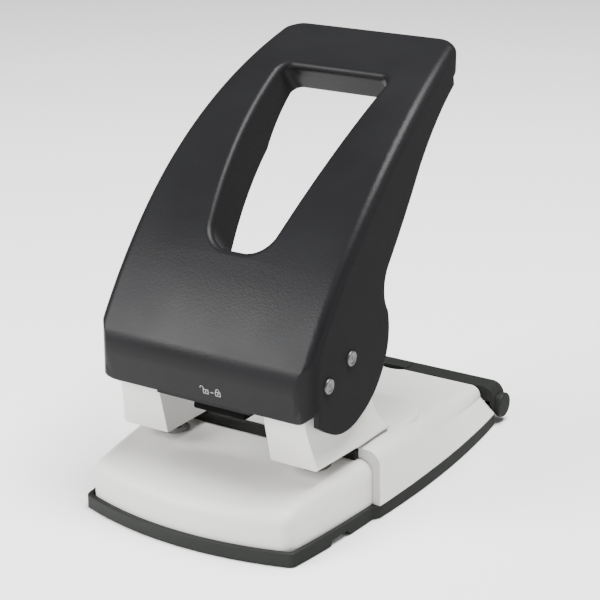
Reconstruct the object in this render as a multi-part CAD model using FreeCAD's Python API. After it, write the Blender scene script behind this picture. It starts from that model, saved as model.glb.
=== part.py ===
import FreeCAD, Part
import math
import os
from FreeCAD import Vector

os.makedirs("parts", exist_ok=True)

# Heavy-duty two-hole lever punch, in millimetres. X to the right, Y to the rear, Z up.
# Y is counted from the front edge of the pan; export() moves the origin to mid-depth on the desk.

# ---- the paper side: what every punch of this kind shares
hole_spacing = 80.0
punch_r = 3.0
stop_to_hole = 12.0
gap = 0.3                      # clearance between bodies that pass each other
bore_gap = 0.06                # radial clearance of a running fit

# ---- base
desk_gap = 0.4
floor_t = 2.0
rim_z = 7.0
rim_w = 2.1
wall = 2.4
pan_front_sag = 9.8
pan_jog_y = 70.5
pan_rear_y = 204.2
table_z = 28.5
plateau_z = table_z + 5.1
plateau_rear_y = 136.6
cover_rear_y = pan_rear_y - 4.2

# ---- punch line, pivot and press pin
punch_x = hole_spacing / 2
punch_y = 57.6
split_y = punch_y + stop_to_hole + 2.8   # front cover ends, rear cover begins
throat_z = table_z + 8.7       # underside of the arms' steel
pivot_y, pivot_z = 38.2, 77.3
press_y, press_z = punch_y - 0.3, pivot_z + 6.9
pin_r = 3.2
head_t = 2.5
head_top = press_z - pin_r - gap
tip_z = throat_z - 0.6

# ---- steel frame (a channel of two plates) inside each arm
plate_t = 2.5
frame_half = 8.0
jaw_front = 46.0
jaw_rear = 104.0
jaw_top = 21.0
guide_z = 60.5
boss_r = 8.0
base_plate_z = desk_gap + floor_t
base_plate_t = 2.0
frame_z = base_plate_z + base_plate_t

# ---- arm mouldings of the rear cover
arm_wall_in, arm_wall_out = 3.0, 3.3
arm_in = punch_x - frame_half - arm_wall_in
arm_out = punch_x + frame_half + arm_wall_out
arm_bottom = throat_z - 2.0
arm_top = 62.0

# ---- handle
shell_t = 3.0
cheek_gap = 4.2                # between an arm and the cheek beside it
side_half = arm_out + cheek_gap + shell_t
lip_y, lip_z = 24.4, 62.0
ridge_r, band_r, lip_r = 5.0, 11.0, 9.0
plate_out = side_half - shell_t
plate_in = plate_out - 2.0
screw_bite = 1.5               # depth of the plate screws in the cheeks
tilt = math.radians(39.5)      # lean of the front panel against the desk
panel_foot = (27.9, 91.6)

# ---- widths of the base, which follow the handle over it
pan_half = side_half + 7.0     # at the hips
pan_front_half = pan_half - 8.5
plateau_half = pan_half - 8.0
door_half = pan_half - 4.9

# ---- chip door
hinge_y, hinge_z = pan_rear_y + 3.8, 9.5
door_top = 20.4
knuckle_r = 6.6
door_pin_r = 1.54
block_x = door_half - wall - gap
depth = hinge_y + knuckle_r

beyond = 80.0                  # half width of the blocks that other shapes are cut with


# ------------------------------------------------------------------ helpers
def box(x0, x1, y0, y1, z0, z1):
    return Part.makeBox(x1 - x0, y1 - y0, z1 - z0, Vector(x0, y0, z0))


def rod_z(r, x, y, z0, z1):
    return Part.makeCylinder(r, z1 - z0, Vector(x, y, z0))


def rod_x(r, x0, x1, y, z):
    return Part.makeCylinder(r, x1 - x0, Vector(x0, y, z), Vector(1, 0, 0))


def mirror(shape):
    return shape.mirror(Vector(0, 0, 0), Vector(1, 0, 0))


def both(shape):
    return Part.makeCompound([shape, mirror(shape)])


def join(shapes):
    return shapes[0].fuse(shapes[1:]).removeSplitter()


def wire(start, steps):
    """Closed wire: a step is a point (line) or a pair of points (arc through the first)."""
    edges = []
    here = start
    for step in steps:
        if isinstance(step, tuple):
            mid, end = step
            edges.append(Part.Arc(here, mid, end).toShape())
        else:
            end = step
            edges.append(Part.makeLine(here, end))
        here = end
    if here.distanceToPoint(start) > 1e-6:
        edges.append(Part.makeLine(here, start))
    return Part.Wire(edges)


def side_prism(half, start, steps, x0=None):
    """Solid from a side outline (Y, Z), extruded across the width."""
    x0 = -half if x0 is None else x0
    def v(p):
        return Vector(x0, p[0], p[1])
    path = [(v(s[0]), v(s[1])) if isinstance(s[0], tuple) else v(s) for s in steps]
    return Part.Face(wire(v(start), path)).extrude(Vector(half - x0, 0, 0))


def plan_prism(z0, z1, start, steps):
    """Solid from a plan outline (X, Y) given for the right half, mirrored about X = 0."""
    def v(p):
        return Vector(p[0], p[1], z0)
    path = [(v(s[0]), v(s[1])) if isinstance(s[0], tuple) else v(s) for s in steps]
    half = Part.Face(wire(v(start), path)).extrude(Vector(0, 0, z1 - z0))
    return half.fuse(mirror(half)).removeSplitter()


def on_panel(x, t, n=0.0):
    """Point at X, t along the chord of the handle's front panel and n above that chord."""
    y = panel_foot[0] + t * math.cos(tilt) - n * math.sin(tilt)
    z = panel_foot[1] + t * math.sin(tilt) + n * math.cos(tilt)
    return Vector(x, y, z)


def panel_prism(start, steps, depth_n=160.0):
    """Solid from an outline (X, t) on the panel's chord, extruded square to it both ways."""
    def v(p):
        return on_panel(p[0], p[1], -depth_n / 2)
    path = [(v(s[0]), v(s[1])) if isinstance(s[0], tuple) else v(s) for s in steps]
    up = on_panel(0, 0, depth_n) - on_panel(0, 0, 0)
    return Part.Face(wire(v(start), path)).extrude(up)


def circle_of(a, b, c):
    """Centre and radius of the circle through three points of the side view."""
    arc = Part.Arc(Vector(0, a[0], a[1]), Vector(0, b[0], b[1]), Vector(0, c[0], c[1]))
    circle = arc.toShape().Curve
    return (circle.Center.y, circle.Center.z), circle.Radius


def arc_mid(p, q, bulge):
    """Middle point of an arc from p to q that bulges to the left of its chord."""
    dx, dy = q[0] - p[0], q[1] - p[1]
    s = bulge / math.hypot(dx, dy)
    return ((p[0] + q[0]) / 2 - dy * s, (p[1] + q[1]) / 2 + dx * s)


def soften(shape, radius, pick):
    """Round every edge whose middle point the test picks."""
    edges = []
    for edge in shape.Edges:
        if edge.Length < 0.05:
            continue
        middle = edge.valueAt((edge.FirstParameter + edge.LastParameter) / 2)
        if pick(middle, edge):
            edges.append(edge)
    return shape.makeFillet(radius, edges)


def export(shape, name):
    shape = shape.copy()
    shape.translate(Vector(0, -depth / 2, 0))
    shape.exportStep("parts/" + name + ".step")
    b = shape.optimalBoundingBox()
    print(name, shape.isValid(), len(shape.Solids), [round(v, 1) for v in (
        b.XMin, b.XMax, b.YMin + depth / 2, b.YMax + depth / 2, b.ZMin, b.ZMax)])


# ------------------------------------------------------------------ base: pan and covers
def pan_solid(inset, corner, rear_y, z0, z1, hips=True):
    """Pan outline moved in by inset: bowed front, waisted side that steps out at the hips."""
    front = (pan_front_half + 1.0 - inset, pan_front_sag + 0.3 + inset * 0.85)
    jog = (pan_half - 2.1 - inset, pan_jog_y + inset * 0.4)
    hip = (pan_half - inset, pan_jog_y + 3.0 + inset * 0.4)
    tail = (door_half - inset, rear_y)
    right = [(arc_mid(front, jog, -0.9), jog), hip, (arc_mid(hip, tail, -3.8), tail)]
    if not hips:
        jog = (pan_half - 0.3 - inset, 110)
        right = [(arc_mid(front, jog, -1.6), jog)]

    def v(p):
        return Vector(p[0], p[1], z0)

    def flip(p):
        return Vector(-p[0], p[1], z0)
    ends = [front] + [step[1] if isinstance(step[0], tuple) else step for step in right]
    mids = [step[0] if isinstance(step[0], tuple) else None for step in right]
    steps = [(v(m), v(e)) if m else v(e) for m, e in zip(mids, ends[1:])]
    steps.append(flip(ends[-1]))
    for m, e in zip(reversed(mids), reversed(ends[:-1])):
        steps.append((flip(m), flip(e)) if m else flip(e))
    steps.append((v((0, inset)), v(front)))
    solid = Part.Face(wire(v(front), steps)).extrude(Vector(0, 0, z1 - z0))

    def upright(e):
        return e.BoundBox.ZLength > (z1 - z0) * 0.9
    solid = soften(solid, corner, lambda m, e: upright(e) and m.y < 20 + inset)
    if hips:
        solid = soften(solid, 4.0, lambda m, e: upright(e) and m.y > rear_y - 1)
        solid = soften(solid, 1.2, lambda m, e: upright(e) and abs(m.y - pan_jog_y - 1.5) < 4)
    return solid


foot_r, foot_seat = 6.2, 1.2
feet_at = [(pan_half - 19.5, 24), (pan_half - 9.5, pan_rear_y - 18.2)]
screws_at = [(punch_x - 10, 22), (pan_half - 8.5, 118), (pan_half - 20.5, pan_rear_y - 14.2)]
bolts_at = [(punch_x, 72.0), (punch_x, 97.0)]


def spots(points):
    return [(s * x, y) for x, y in points for s in (1, -1)]


def base_pan():
    pan = pan_solid(0, 4.0, pan_rear_y, desk_gap, rim_z)
    pan = soften(pan, 0.8, lambda m, e: m.z > rim_z - 0.01)
    pan = pan.cut(pan_solid(rim_w, 3.0, pan_rear_y - rim_w, desk_gap + floor_t, rim_z + 1))
    # finger notches low in the sides, and room for the door's knuckles
    notch = side_prism(beyond, (36.5, 0), [(38.5, 3.2), (50, 3.2), (52, 0)], x0=pan_half - 9.5)
    pan = pan.cut([notch, mirror(notch)])
    room = rod_x(knuckle_r + 0.5, door_half - 0.6, beyond, hinge_y, hinge_z)
    pan = pan.cut([room, mirror(room), both(door_block())])
    cover_foot = front_cover().common(box(-90, 90, -10, split_y + 1, base_plate_z, rim_z + 1))
    pan = pan.cut(cover_foot)
    for x, y in spots(feet_at):
        pan = pan.cut(rod_z(foot_r, x, y, 0, desk_gap + foot_seat))
    for x, y in spots(screws_at):
        pan = pan.cut([rod_z(3.4, x, y, 0, desk_gap + 1.1), rod_z(1.6, x, y, 0, 9)])
    return pan


def rubber_feet():
    return Part.makeCompound([rod_z(foot_r, x, y, 0, desk_gap + foot_seat) for x, y in spots(feet_at)])


def base_screws():
    screws = []
    for x, y in spots(screws_at):
        screw = rod_z(3.0, x, y, desk_gap + 0.1, desk_gap + 1.1).fuse(
            rod_z(1.5, x, y, desk_gap + 1.0, 12))
        slot = box(x - 2.2, x + 2.2, y - 0.3, y + 0.3, 0, desk_gap + 0.6)
        screws.append(screw.cut([slot, slot.copy().rotate(Vector(x, y, 0), Vector(0, 0, 1), 90)]))
    return Part.makeCompound(screws)


def base_plate():
    front, rear, x = jaw_front - 4, jaw_rear + 8, punch_x + frame_half
    plate = plan_prism(base_plate_z, base_plate_z + base_plate_t, (0, front),
                       [(x + 2, front), (x + 4, front + 2), (x + 4, rear - 4), (x - 2, rear),
                        (x - 18, rear), (x - 24, rear - 6), (0, rear - 6)])
    for x, y in spots(bolts_at):
        plate = plate.cut(rod_z(2.0, x, y, 0, 20))
    return plate


def front_cover():
    def block(inset, drop, rounding):
        body = pan_solid(inset, 11.0 - inset, pan_rear_y, base_plate_z, 40, hips=False)
        top = side_prism(90, (-10, 0), [(-10, 20.6 - drop),
                                        ((34, 26.3 - drop), (split_y, table_z - drop)),
                                        (split_y + 40, table_z - drop), (split_y + 40, 0)])
        body = body.common(top)
        body = body.common(box(-90, 90, -10, split_y, 0, 60))
        return soften(body, rounding, lambda m, e: m.z > 15 and m.y < split_y - 0.5
                      and e.BoundBox.ZLength < 15)
    cover = block(rim_w + 0.2, 0, 6.5)
    cavity = block(rim_w + 0.2 + wall, wall, 4.5)
    half = pan_half - 7.5
    cavity = cavity.fuse(box(-half, half, split_y - 12, split_y + 5, 2, table_z - wall))
    keep = cover.cut(cavity.common(box(-90, 90, -10, split_y + 5, 0, 60)))
    for x, y in spots(screws_at[:1]):
        post = rod_z(3.6, x, y, base_plate_z, 24)
        keep = keep.fuse(post).cut(rod_z(1.5, x, y, 0, 12))
    for side in (1, -1):
        keep = keep.cut(rod_z(7.2, side * punch_x, punch_y, table_z - 6, table_z + 3))
    return keep


# half sections of the rear cover from front to rear: Y, foot X, side top (X, Z), deck corner (X, Z),
# with every X counted from the pan's hips
cover_sections = [(split_y + 0.3, 0.5, (0.0, 26.0), (-6.2, plateau_z)),
                  (split_y + 32.6, 1.5, (-0.9, 25.0), (-7.5, plateau_z - 0.6)),
                  (cover_rear_y - 60.0, 1.1, (-5.5, 20.5), (-13.2, 28.0)),
                  (cover_rear_y - 30.0, -0.6, (-8.7, 16.6), (-15.5, 24.0)),
                  (cover_rear_y, -3.9, (-12.6, 14.6), (-18.7, 20.2))]


def cover_loft(inset, stretch):
    wires = []
    for i, (y, foot, side, deck) in enumerate(cover_sections):
        if i == 0:
            y = y - stretch
        if i == len(cover_sections) - 1:
            y = y + stretch
        z0 = rim_z - stretch
        a = (pan_half + foot - inset, z0)
        b = (pan_half + side[0] - inset, side[1] - inset * 0.3)
        c = (pan_half + deck[0] - inset * 0.4, deck[1] - inset)
        m = arc_mid(b, c, -1.9)
        def r(p):
            return Vector(p[0], y, p[1])
        def l(p):
            return Vector(-p[0], y, p[1])
        wires.append(Part.Wire([
            Part.makeLine(l(a), r(a)), Part.makeLine(r(a), r(b)), Part.Arc(r(b), r(m), r(c)).toShape(),
            Part.makeLine(r(c), l(c)), Part.Arc(l(c), l(m), l(b)).toShape(), Part.makeLine(l(b), l(a))]))
    return Part.makeLoft(wires, True, False)


def plateau(inset, z1):
    x = plateau_half - inset
    y = plateau_rear_y - inset
    r = 17 - inset
    block = plan_prism(20, z1, (0, split_y + 0.3 + inset),
                       [(x, split_y + 0.3 + inset), (x, y - r),
                        ((x - r * 0.293, y - r * 0.293), (x - r, y)), (0, y)])
    return block


def arm_block(side):
    """Outside of one arm: front view section that flares at the foot, cut to the side outline."""
    def section(y, flare):
        def v(x, z):
            return Vector(side * x, y, z)
        return wire(v(arm_in, arm_bottom - 4), [
            v(arm_in, arm_top), v(arm_out, arm_top), v(arm_out, 58),
            (v(arm_out + (flare - arm_out) * 0.4, 47), v(flare, 37.6)),
            (v(flare - 0.6, 35.8), v(flare - 2.4, arm_bottom)), v(flare - 2.4, arm_bottom - 4)])
    loft = Part.makeLoft([section(26, arm_out + 2.5), section(76, arm_out + 5.3),
                          section(112, arm_out + 5.3)], True, True)
    outline = side_prism(beyond, (36.9, arm_bottom), [
        (30.3, 60.5), ((30.6, 61.6), (31.8, arm_top)), (76, arm_top),
        ((84, 59.0), (88, 51.5)), ((92.5, 40.8), (104, plateau_z - 0.6)),
        (104, 31.5), (split_y + 0.3, 31.5), (split_y + 0.3, arm_bottom)], x0=-beyond)
    block = loft.common(outline)
    return block


def arm_hollow(side):
    x0 = punch_x - frame_half - 0.5
    x1 = punch_x + frame_half + 0.5
    room = side_prism(x1, (39.4, throat_z), [(33.6, arm_top + 3), (86.5, arm_top + 3), (86.5, 48),
                                             (89.6, 38), (89.6, 22), (75.4, 22), (75.4, throat_z)],
                      x0=x0)
    return room if side > 0 else mirror(room)


def rear_cover():
    shell = cover_loft(0, 0)
    top = soften(plateau(0, plateau_z), 1.6, lambda m, e: m.z > plateau_z - 0.01
                 and m.y > split_y + 1 and abs(m.x) > 5 or (m.z > plateau_z - 0.01 and m.y > 130))
    top = top.cut(box(-80, 80, 0, 300, 0, 24))
    body = shell.fuse(top)
    for side in (1, -1):
        body = body.fuse(arm_block(side))
    body = body.removeSplitter()
    hollow = cover_loft(wall, 2).common(box(-80, 80, split_y + 0.3 + wall, 300, 0, 60))
    body = body.cut([hollow, plateau(wall, plateau_z - wall)])
    for x, y in spots(screws_at[1:]):
        post = rod_z(3.6, x, y, base_plate_z, plateau_z)
        body = body.fuse(post.common(cover_loft(0.8, 4))).cut(rod_z(1.5, x, y, 0, 12))
    for side in (1, -1):
        body = body.cut(arm_hollow(side))
        x0 = side * punch_x - frame_half - 0.5
        x1 = side * punch_x + frame_half + 0.5
        body = body.cut(box(x0, x1, split_y - 5, split_y + 10, 0, jaw_top + 0.5))
        body = body.cut(rod_z(5.0, side * punch_x, punch_y, 30, 40))
    return body.cut(thumb_notch(0))


# ------------------------------------------------------------------ base: steel inside
def frame(side):
    x0 = punch_x - frame_half
    x1 = punch_x + frame_half
    outline = [(48.5, 66), (52, 67), (74, 67), (85.8, 61.5), (85.8, 49), (88.6, 38), (88.6, 28),
               (92, jaw_top), (jaw_rear, jaw_top), (jaw_rear, frame_z), (jaw_front, frame_z),
               (jaw_front, jaw_top), (76.2, jaw_top), (76.2, throat_z), (40.2, throat_z),
               (35.2, 62), (pivot_y - boss_r, pivot_z - 2), (pivot_y + boss_r - 0.6, pivot_z - 2)]
    body = side_prism(x1, outline[0], outline[1:], x0=x0)
    body = body.fuse(rod_x(boss_r, x0, x1, pivot_y, pivot_z))
    inside = box(x0 + plate_t, x1 - plate_t, 0, 200, 0, 120)
    flanges = [box(x0, x1, 40.2, 76.2 + plate_t, throat_z, throat_z + 2),
               box(x0, x1, 48, 76, guide_z, guide_z + 2.5),
               box(x0, x1, jaw_front, jaw_front + plate_t, frame_z, jaw_top),
               box(x0, x1, 68, jaw_rear, frame_z, frame_z + plate_t),
               box(x0, x1, 76.2, 76.2 + plate_t, jaw_top, throat_z + 2),
               box(x0, x1, jaw_rear - plate_t, jaw_rear, frame_z, jaw_top)]
    web = body.common(join(flanges))
    body = body.cut(inside).fuse(web).removeSplitter()
    body = body.cut(rod_x(4.5, x0 - 1, x1 + 1, pivot_y, pivot_z))
    body = body.cut([rod_z(punch_r + bore_gap, punch_x, punch_y, throat_z - 1, throat_z + 3),
                     rod_z(4.5, punch_x, punch_y, guide_z - 1, guide_z + 4)])
    for x, y in bolts_at:
        body = body.cut(rod_z(2.0, x, y, 0, frame_z + 4))
    return body if side > 0 else mirror(body)


def frame_bolts():
    bolts = []
    for x, y in spots(bolts_at):
        head = Part.makePolygon([Vector(x + 3.6 * math.cos(a), y + 3.6 * math.sin(a), frame_z + plate_t)
                                 for a in [math.radians(60 * k) for k in range(7)]])
        head = Part.Face(head).extrude(Vector(0, 0, 2.8))
        bolts.append(head.fuse(rod_z(2.0, x, y, base_plate_z, frame_z + plate_t)))
    return Part.makeCompound(bolts)


def die_plate():
    front, rear, x = jaw_front + 1.5, split_y - 1.4, punch_x + frame_half
    plate = plan_prism(jaw_top, jaw_top + 4, (0, front),
                       [(x + 3, front), (x + 5, front + 2), (x + 5, rear - 2), (x + 3, rear),
                        (x - 18, rear), (x - 22, rear - 5), (0, rear - 5)])
    for side in (1, -1):
        plate = plate.cut(rod_z(6.0, side * punch_x, punch_y, 0, 60))
    return plate


def die(side):
    bush = rod_z(6.0, side * punch_x, punch_y, jaw_top, jaw_top + 4).fuse(
        rod_z(6.9, side * punch_x, punch_y, jaw_top + 4, table_z - 0.1))
    bush = bush.cut(rod_z(punch_r + 0.1, side * punch_x, punch_y, 0, 60))
    relief = Part.makeCone(punch_r + 1.8, punch_r + 0.1, 5, Vector(side * punch_x, punch_y, jaw_top - 0.5))
    return bush.cut(relief).removeSplitter()


def guide_bush(side):
    top = guide_z + 2.5
    bush = rod_z(4.5, side * punch_x, punch_y, guide_z, top).fuse(
        rod_z(5.3, side * punch_x, punch_y, top, top + 1.6))
    return bush.cut(rod_z(punch_r + bore_gap, side * punch_x, punch_y, 50, 80)).removeSplitter()


def pivot_bushes():
    tubes = []
    for side in (1, -1):
        x0 = side * punch_x - frame_half - 0.6
        x1 = side * punch_x + frame_half + 0.6
        tube = rod_x(4.5, x0, x1, pivot_y, pivot_z).cut(rod_x(pin_r + bore_gap, x0 - 1, x1 + 1,
                                                              pivot_y, pivot_z))
        tubes.append(tube)
    return Part.makeCompound(tubes)


def paper_stop():
    y1 = split_y + 0.3
    half = pan_half - 11.5
    bar = box(-half, half, punch_y + stop_to_hole, y1, table_z, plateau_z - 0.4)
    return soften(bar, 0.8, lambda m, e: m.y < punch_y + stop_to_hole + 0.01 and m.z > table_z + 4
                  and e.Length > 50)


def return_spring(side):
    """Compression spring round the punch, between the frame's flange and the punch's collar."""
    wire_r = 0.5
    radius = punch_r + 1.25
    z0 = throat_z + 2 + wire_r
    z1 = guide_z - 1.5 - wire_r
    helix = Part.makeHelix((z1 - z0) / 5, z1 - z0, radius)
    section = Part.Wire(Part.makeCircle(wire_r, Vector(radius, 0, 0), Vector(0, 1, 0)))
    coil = Part.Wire(helix.Edges).makePipeShell([section], True, True)
    coil.translate(Vector(side * punch_x, punch_y, z0))
    return coil


# ------------------------------------------------------------------ handle
front_a, front_b, front_c = (26.3, 92.6), (84.9, 159.0), (158.4, 201.9)
front_centre, front_radius = circle_of(front_a, front_b, front_c)
chin_round = 18.0
chin_z = 82.0
end_y, end_z = 176.5, 140.0    # far end: its face, and the height from which it is cut
end_half = side_half - 8.3
end_corner_r, end_round = 13.0, 4.0
rim_round, sleeve_t, sleeve_deep = 3.0, 4.2, 24.0


def on_front(y=None, z=None, t=0.0):
    """Point of the front arc, moved in by t, at a given Y or a given Z."""
    r = front_radius - t
    if z is not None:
        return (front_centre[0] - math.sqrt(r * r - (z - front_centre[1]) ** 2), z)
    return (y, front_centre[1] + math.sqrt(r * r - (y - front_centre[0]) ** 2))


def side_edges(x_min, test):
    """Test for edges that run across the width and whose side-view point passes."""
    return lambda m, e: e.BoundBox.XLength > x_min and test(m)


def handle_side_prism(half):
    body = side_prism(half, (lip_y, lip_z), [
        on_front(z=chin_z), (front_b, on_front(y=end_y + 15)), (end_y + 15, 196.5),
        ((152.0, 181.6), (122.3, 158.0)), (91.8, 120.6),
        ((86.6, 108.8), (90.2, 97.0)), ((91.4, 84.6), (87.6, 72.0)),
        ((79.6, lip_z - 0.8), (66.4, lip_z - 9.1)), ((53.6, lip_z - 12.0), (41.0, lip_z - 8.8)),
        ((33.6, lip_z - 4.4), (27.6, lip_z))])
    return soften(body, chin_round, side_edges(half, lambda m: abs(m.z - chin_z) < 0.1 and m.y < 30))


def handle_front_prism(inset):
    """Front view of the handle square to its panel: parallel below, tapering to the far end."""
    w = side_half - inset
    taper_r = 877.0

    def at(t):
        return (w - taper_r + math.sqrt(taper_r ** 2 - (t - 52) ** 2), t)

    def flip(p):
        return (-p[0], p[1])
    end = 215
    return panel_prism((w, -70), [(w, 52), (at(120), at(end)), flip(at(end)),
                                  (flip(at(120)), (-w, 52)), (-w, -70)], 260)


def end_cut(inset):
    """Everything short of the handle's far end: an upright end face with round corners."""
    w = end_half - inset
    block = box(-w, w, -100, end_y - inset, end_z, 300)
    block = soften(block, end_corner_r - inset * 0.6, lambda m, e: e.BoundBox.ZLength > 150 and m.y > 0)
    wide = box(-80, 80, -100, end_y - inset - end_corner_r, end_z, 300)
    return block.fuse([wide, box(-80, 80, -100, 400, -100, end_z)])


def window_prism(grow):
    """The hand window, grown all round: wide and square above, narrow and round below."""
    top, foot = 149.8 + grow, 41.0 - grow
    wide, narrow, mid = 29.9 + grow, 15.2 + grow, 24.8 + grow
    deep = 260
    prism = panel_prism((wide, top), [
        (-wide, top), ((-mid, (top + foot) / 2), (-narrow, foot)), (narrow, foot),
        ((mid, (top + foot) / 2), (wide, top))], deep)
    prism = soften(prism, 5.5 + grow / 2, lambda m, e: abs(e.Length - deep) < 1
                   and (m - on_panel(m.x, top)).Length < 5)
    return soften(prism, 14 + grow, lambda m, e: abs(e.Length - deep) < 1
                  and (m - on_panel(m.x, foot)).Length < 5)


def band_corners(inset=0.0):
    """Plan of the front band: its upright corners are rounder than the ridges above."""
    half = side_half - inset
    front_y = handle_side_prism(side_half).optimalBoundingBox().YMin + inset
    block = box(-half, half, front_y, 300, 0, 300)
    return soften(block, band_r - inset, lambda m, e: e.BoundBox.ZLength > 299 and m.y < front_y + 1)


def lip_corners():
    """What the rounding of the band's two lower corners takes away."""
    cut = box(side_half - lip_r, side_half + 5, 0, 31.0, lip_z - 15, lip_z + lip_r)
    cut = cut.cut(Part.makeCylinder(lip_r, 60, Vector(side_half - lip_r, -10, lip_z + lip_r),
                                    Vector(0, 1, 0)))
    return [cut, mirror(cut)]


def handle_shell():
    outer = handle_side_prism(beyond).common(handle_front_prism(0))

    def far(m):
        return math.hypot(m.y - front_centre[0], m.z - front_centre[1]) - front_radius

    def front_edge(m, e):
        on_side = abs(m.x) > 30 and e.BoundBox.XLength < 40 and m.z > lip_z + 1
        return on_side and (abs(far(m)) < 0.02 and m.z > 86 or m.z < 90 and m.y < 26)
    outer = soften(outer, ridge_r, front_edge)
    outer = outer.common(end_cut(0))
    outer = soften(outer, end_round, lambda m, e: m.y > end_y - 0.01)
    outer = outer.common(band_corners()).cut(lip_corners())
    # hand window with a rounded front rim
    outer = outer.cut(window_prism(0))

    def rim(m, e):
        return abs(far(m)) < 0.05 and abs(m.x) < 32 and 100 < m.z < 196
    outer = soften(outer, rim_round, rim)
    # the room inside, open to the rear and below; a sleeve round the window and two ribs stay
    t = shell_t
    inner = side_prism(beyond, (lip_y + t, 40), [
        (lip_y + t, lip_z), on_front(z=chin_z, t=t), (on_front(y=100, t=t), on_front(y=end_y - t - 1, t=t)),
        (end_y - t - 1, 194.8), ((146.0, 182.5), (120, 162)), (120, 150), (190, 150), (190, 30), (60, 20),
        (30, 30)])
    inner = inner.common(handle_front_prism(shell_t)).common(end_cut(shell_t))
    inner = inner.common(band_corners(shell_t))
    keep = [window_prism(sleeve_t).cut(rod_x(front_radius - sleeve_deep, -beyond, beyond, *front_centre))]
    for rib_t in (10.0, 24.0):
        foot = on_panel(0, rib_t)
        half = side_half - 1.5
        keep.append(box(-half, half, foot.y - 2, foot.y + 9, foot.z - 1, foot.z + 1))
    shell = outer.cut(inner.cut(keep))
    # shelf that carries the lock slide, with its slot, and the bores for the two pins
    shelf = box(-26, 26, lip_y + 1.0, 52, lip_z - 1.6, lip_z + 0.9)
    shelf = shelf.cut(box(-neck_half - 2 * gap, neck_half + slide_travel + 2 * gap,
                          neck_y0 - gap, neck_y1 + gap, 50, 70))
    shell = shell.fuse(shelf)
    for y, z in ((pivot_y, pivot_z), (press_y, press_z)):
        shell = shell.cut(rod_x(pin_r, -beyond, beyond, y, z))
    for y, z in plate_screws_at:
        shell = shell.cut(both(rod_x(1.6, plate_out - 1, plate_out + screw_bite, y, z)))
    return shell


# lock slide: neck in the shelf's slot, and how far it slides
neck_half, neck_y0, neck_y1 = 6.4, 41.0, 49.0
slide_travel = 5.5


def side_plate(side):
    """Steel cheek plate that carries both pins, screwed to the inside of the shell."""
    a = (pivot_y, pivot_z)
    b = (press_y, press_z)
    r = 9.5
    dy, dz = b[0] - a[0], b[1] - a[1]
    s = r / math.hypot(dy, dz)
    ny, nz = -dz * s, dy * s
    ey, ez = dy * s, dz * s
    plate = side_prism(plate_out, (a[0] - ny, a[1] - nz), [
        ((a[0] - ey, a[1] - ez), (a[0] + ny, a[1] + nz)), (b[0] + ny, b[1] + nz), (67, 106),
        ((72, 107.6), (76, 104)), (b[0] + ey * 1.6, b[1] + ez * 1.6 - 3), (b[0] - ny, b[1] - nz)],
        x0=plate_in)
    for y, z in (a, b):
        plate = plate.cut(rod_x(pin_r, 40, 70, y, z))
    for y, z in plate_screws_at:
        plate = plate.cut(rod_x(1.6, 40, 70, y, z))
    plate = plate.common(band_corners(shell_t))
    return plate if side > 0 else mirror(plate)


plate_screws_at = [(70.0, 100.0), (47.0, 87.5)]


def plate_screws():
    screws = []
    for y, z in plate_screws_at:
        screw = rod_x(1.6, plate_in, plate_out + screw_bite, y, z).fuse(
            rod_x(2.9, plate_in - 1.2, plate_in, y, z))
        screws.append(screw)
        screws.append(mirror(screw))
    return Part.makeCompound(screws)


def cross_pin(y, z):
    """Turned pin across both cheeks, with slightly larger riveted ends outside."""
    end = rod_x(pin_r + 0.4, side_half, side_half + 1.1, y, z)
    end = soften(end, 0.45, lambda m, e: m.x > side_half + 1.0)
    return join([rod_x(pin_r, -side_half, side_half, y, z), end, mirror(end)])


def pin_clips():
    """Spring clips in the pins' grooves, just inside the steel plates."""
    clips = []
    for y, z in ((pivot_y, pivot_z), (press_y, press_z)):
        ring = rod_x(pin_r + 1.8, plate_in - 0.8, plate_in, y, z).cut(
            rod_x(pin_r, plate_in - 1, plate_in + 1, y, z))
        ring = ring.cut(box(plate_in - 2, plate_in + 2, y - 1.1, y + 1.1, z - 9, z))
        clips += [ring, mirror(ring)]
    return Part.makeCompound(clips)


# ------------------------------------------------------------------ moving pieces
def punch(side):
    x = side * punch_x
    body = rod_z(punch_r, x, punch_y, tip_z, head_top - head_t).fuse(
        rod_z(5.2, x, punch_y, head_top - head_t, head_top))
    body = soften(body, 0.8, lambda m, e: m.z > head_top - 0.1)
    # hollow-ground cutting end: a shallow V across the tip
    v = side_prism(x + 5, (punch_y - 4, tip_z - 1), [(punch_y, tip_z + 1.3), (punch_y + 4, tip_z - 1)],
                   x0=x - 5)
    return body.cut(v).removeSplitter()


def punch_collar(side):
    x = side * punch_x
    return rod_z(4.7, x, punch_y, guide_z - 1.5, guide_z - gap).cut(
        rod_z(punch_r, x, punch_y, 50, 70))


def lock_slider():
    top = lip_z - 1.6 - gap
    foot = lip_z - 11.2
    slab = side_prism(13.85, (38.0, foot), [(37.2, foot + 1.4), (38.6, top), (54, top),
                                            (54, foot + 4.7), (46, foot)])
    slab = soften(slab, 0.8, lambda m, e: m.z < foot + 2.2 and abs(m.x) < 13 and m.y < 45)
    neck = box(-neck_half, neck_half, neck_y0, neck_y1, top - 0.5, lip_z + 0.9 + gap)
    head = box(-9.5, 9.5, 39, 51, lip_z + 0.9 + gap, lip_z + 3.6)
    nose = box(12, 19.5, 48, 53.7, foot + 4.6, foot + 7.6)
    return join([slab, neck, head, nose])


# ------------------------------------------------------------------ chip door
def door_outline(inset, y0, y1, z0):
    r = 7 - inset
    x = door_half - inset
    z = door_top - inset
    k = r * 0.293
    def v(px, pz):
        return Vector(px, y0, pz)
    w = wire(v(-x, z0), [v(-x, z - r), (v(-x + k, z - k), v(-x + r, z)), v(x - r, z),
                         (v(x - k, z - k), v(x, z - r)), v(x, z0)])
    return Part.Face(w).extrude(Vector(0, y1 - y0, 0))


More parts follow.
